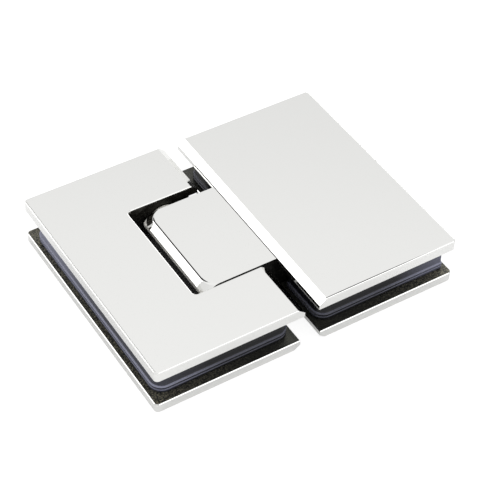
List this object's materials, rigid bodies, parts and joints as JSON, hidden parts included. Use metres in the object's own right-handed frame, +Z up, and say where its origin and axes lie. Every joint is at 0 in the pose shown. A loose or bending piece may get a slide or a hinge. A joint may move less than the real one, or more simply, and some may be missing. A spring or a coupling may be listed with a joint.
{
  "type": "glass door hinge",
  "caption": "Polished glass-to-glass shower door hinge, opened flat: two bevelled leaves clamp the panes and a knuckle swings in a notch.",
  "frame": {"origin": "middle of the underside, on the floor plane halfway along both leaves", "axes": "+X from the door leaf to the fixed leaf, +Y along the pivot pin, +Z up from the rear plates to the front plates"},
  "size_m": [0.115, 0.09, 0.0188],
  "materials": {
    "polished_chrome": "mirror-polished chrome on brass",
    "plated_casting": "chrome-plated casting, not buffed",
    "plated_cover": "polished chrome",
    "stainless_screws": "bright stainless steel",
    "ground_steel": "hardened and ground",
    "spring_steel": "spring wire, oiled",
    "white_acetal": "turned acetal",
    "black_gasket": "smooth black PVC",
    "black_pad": "smooth black PVC"
  },
  "bodies": {
    "fixed_leaf": {"fixed_front_plate": "polished_chrome", "fixed_rear_plate": "polished_chrome", "knuckle_block": "polished_chrome", "fixed_clamp_screws": "stainless_screws", "pivot_bushes": "white_acetal", "pressure_bar": "ground_steel", "centring_springs": "spring_steel", "spring_cover": "plated_cover", "cover_screws": "stainless_screws", "fixed_rear_gasket": "black_gasket", "fixed_rear_pad": "black_pad", "fixed_front_pad": "black_pad", "fixed_front_gasket": "black_gasket"},
    "door_leaf": {"door_front_plate": "polished_chrome", "door_rear_plate": "polished_chrome", "pin_carrier": "plated_casting", "door_clamp_screws": "stainless_screws", "pivot_pin": "ground_steel", "pin_grub_screws": "stainless_screws", "door_rear_gasket": "black_gasket", "door_rear_pad": "black_pad", "door_front_pad": "black_pad", "door_front_gasket": "black_gasket"}
  },
  "joints": [
    {"name": "door_swing", "type": "hinge", "parent": "fixed_leaf", "child": "door_leaf", "pos_m": [-0.0166, 0, 0.0094], "axis": [0, 1, 0], "range_deg": [-90, 90]}
  ]
}
